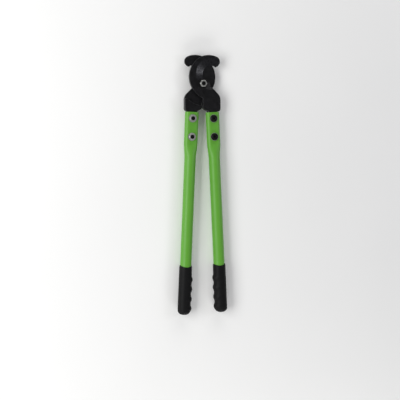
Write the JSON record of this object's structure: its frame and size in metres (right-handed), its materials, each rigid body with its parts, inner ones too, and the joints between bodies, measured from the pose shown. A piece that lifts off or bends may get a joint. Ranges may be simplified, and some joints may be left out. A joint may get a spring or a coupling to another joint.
{
  "type": "long-arm cable cutter",
  "caption": "Long-arm hand cutter with hooked bypass jaws on a pivot bolt, bolted to tubular steel handles with moulded grips.",
  "frame": {"origin": "centre of the footprint of the shut tool, on the surface that it lies on", "axes": "+Y along the tool towards the jaws, +Z along the pivot bolt towards its nut, +X to the right seen from the nut's side"},
  "size_m": [0.1614, 0.8, 0.0409],
  "materials": {
    "forged_steel": "black oxide, semi-gloss",
    "green_paint": "semi-gloss powder coat",
    "grip_plastic": "satin dipped plastic",
    "plated_steel": "bright zinc plate",
    "black_bolt": "black oxide"
  },
  "bodies": {
    "rear_half": {"front_pivot_washer": "black_bolt", "left_grip": "grip_plastic", "left_lower_bolt": "black_bolt", "left_lower_head_washer": "plated_steel", "left_lower_nut": "plated_steel", "left_lower_nut_washer": "plated_steel", "left_tube": "green_paint", "left_upper_bolt": "black_bolt", "left_upper_head_washer": "plated_steel", "left_upper_nut": "plated_steel", "left_upper_nut_washer": "plated_steel", "pivot_bolt": "black_bolt", "pivot_nut": "plated_steel", "rear_blade": "forged_steel", "rear_pivot_washer": "black_bolt"},
    "front_half": {"front_blade": "forged_steel", "right_grip": "grip_plastic", "right_lower_bolt": "black_bolt", "right_lower_head_washer": "plated_steel", "right_lower_nut": "plated_steel", "right_lower_nut_washer": "plated_steel", "right_tube": "green_paint", "right_upper_bolt": "black_bolt", "right_upper_head_washer": "plated_steel", "right_upper_nut": "plated_steel", "right_upper_nut_washer": "plated_steel"}
  },
  "joints": [
    {"name": "jaw_pivot", "type": "hinge", "parent": "rear_half", "child": "front_half", "pos_m": [0, 0.314, 0.02], "axis": [0, 0, 1], "range_deg": [0, 95]}
  ]
}
